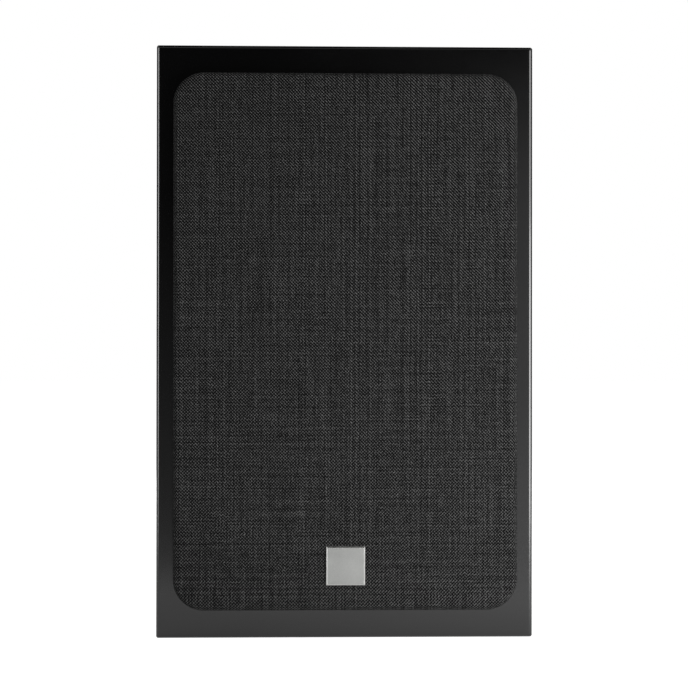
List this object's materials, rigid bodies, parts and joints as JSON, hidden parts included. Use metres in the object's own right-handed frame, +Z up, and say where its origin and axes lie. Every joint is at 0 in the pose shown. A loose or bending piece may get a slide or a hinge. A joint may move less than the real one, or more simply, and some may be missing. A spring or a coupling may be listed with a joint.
{
  "type": "bookshelf speaker",
  "caption": "Two-way bookshelf speaker: satin black cabinet, pull-off cloth grille with a blank badge, woofer and dome tweeter behind it, rear port and screw terminals.",
  "frame": {"origin": "centre of the cabinet's bottom face, midway between the baffle's front and the rear panel", "axes": "+Z up; the grille faces -Y; +X is the right-hand side seen from the front"},
  "size_m": [0.245, 0.2748, 0.385],
  "materials": {
    "cabinet_lacquer": "satin black lacquer on fibreboard",
    "cabinet_wrap": "black wood-grain wrap on fibreboard",
    "raw_board": "bare fibreboard",
    "wadding": "white polyester wadding",
    "grille_cloth": "dark grey plain-weave cloth with slubs",
    "grille_plastic": "moulded black plastic",
    "badge_metal": "bead-blasted satin aluminium",
    "basket_paint": "black powder-coated casting",
    "cone_paper": "pulped fibre cone",
    "soft_rubber": "matt rubber",
    "dome_fabric": "coated woven fabric",
    "spider_cloth": "resin-coated cloth",
    "magnet_ferrite": "ferrite",
    "plated_steel": "zinc-plated steel",
    "black_screw": "black oxide",
    "copper_wire": "enamelled copper",
    "gold_brass": "gold-plated brass",
    "black_plastic": "moulded black plastic",
    "red_plastic": "moulded red plastic",
    "foam": "closed-cell foam",
    "circuit_board": "glass-fibre board",
    "film_capacitor": "tape-wrapped film capacitor",
    "ceramic_white": "cement resistor body",
    "red_wire": "wire sleeve"
  },
  "bodies": {
    "cabinet": {"front_baffle": "cabinet_lacquer", "left_side_panel": "cabinet_wrap", "right_side_panel": "cabinet_wrap", "top_panel": "cabinet_wrap", "bottom_panel": "cabinet_wrap", "rear_panel": "cabinet_wrap", "shelf_brace": "raw_board", "left_wadding": "wadding", "right_wadding": "wadding", "woofer_basket": "basket_paint", "woofer_gasket": "foam", "woofer_surround": "soft_rubber", "woofer_spider": "spider_cloth", "woofer_top_plate": "plated_steel", "woofer_magnet": "magnet_ferrite", "woofer_yoke": "plated_steel", "woofer_terminal_strip": "gold_brass", "woofer_flex_leads": "copper_wire", "woofer_screws": "black_screw", "tweeter_faceplate": "black_plastic", "tweeter_gasket": "foam", "tweeter_surround": "dome_fabric", "tweeter_top_plate": "plated_steel", "tweeter_magnet": "magnet_ferrite", "tweeter_yoke": "plated_steel", "tweeter_rear_cup": "black_plastic", "tweeter_terminal_strip": "gold_brass", "tweeter_screws": "black_screw", "grille_cups": "grille_plastic", "port_tube": "black_plastic", "terminal_cup": "black_plastic", "terminal_gasket": "foam", "terminal_screws": "black_screw", "red_post_stud": "gold_brass", "black_post_stud": "gold_brass", "post_nuts": "gold_brass", "post_tags": "gold_brass", "crossover_board": "circuit_board", "crossover_fixings": "plated_steel", "woofer_inductor": "copper_wire", "tweeter_inductor": "copper_wire", "crossover_capacitors": "film_capacitor", "crossover_resistors": "ceramic_white", "input_lead": "red_wire", "woofer_lead": "red_wire", "tweeter_lead": "red_wire"},
    "grille": {"grille_frame": "grille_plastic", "grille_cloth": "grille_cloth", "grille_pegs": "grille_plastic", "badge_plate": "badge_metal"},
    "woofer_diaphragm": {"woofer_cone": "cone_paper", "woofer_dust_cap": "cone_paper", "woofer_coil_former": "plated_steel", "woofer_voice_coil": "copper_wire"},
    "tweeter_diaphragm": {"tweeter_dome": "dome_fabric", "tweeter_voice_coil": "copper_wire"},
    "red_clamp": {"red_post_collar": "gold_brass"},
    "red_knob": {"red_post_knob": "red_plastic"},
    "black_clamp": {"black_post_collar": "gold_brass"},
    "black_knob": {"black_post_knob": "black_plastic"}
  },
  "joints": [
    {"name": "grille_pull", "type": "slide", "parent": "cabinet", "child": "grille", "axis": [0, -1, 0], "range_m": [0, 0.06]},
    {"name": "woofer_stroke", "type": "slide", "parent": "cabinet", "child": "woofer_diaphragm", "axis": [0, -1, 0], "range_m": [-0.005, 0.005], "stiffness_N_per_m": 1000, "deforming": ["woofer_surround", "woofer_spider", "woofer_flex_leads"]},
    {"name": "tweeter_stroke", "type": "slide", "parent": "cabinet", "child": "tweeter_diaphragm", "axis": [0, -1, 0], "range_m": [-0.0003, 0.0003], "stiffness_N_per_m": 2000, "deforming": ["tweeter_surround"]},
    {"name": "red_clamp_slide", "type": "slide", "parent": "cabinet", "child": "red_clamp", "axis": [0, 1, 0], "range_m": [0, 0.005]},
    {"name": "red_knob_turn", "type": "hinge", "parent": "red_clamp", "child": "red_knob", "pos_m": [-0.019, 0.1295, 0.075], "axis": [0, 1, 0], "range_deg": [0, 1800]},
    {"name": "black_clamp_slide", "type": "slide", "parent": "cabinet", "child": "black_clamp", "axis": [0, 1, 0], "range_m": [0, 0.005]},
    {"name": "black_knob_turn", "type": "hinge", "parent": "black_clamp", "child": "black_knob", "pos_m": [0.019, 0.1295, 0.075], "axis": [0, 1, 0], "range_deg": [0, 1800]}
  ],
  "couplings": [
    {"joint": "red_knob_turn", "follows": "red_clamp_slide", "rad_per_m": 6283.2},
    {"joint": "black_knob_turn", "follows": "black_clamp_slide", "rad_per_m": 6283.2}
  ]
}
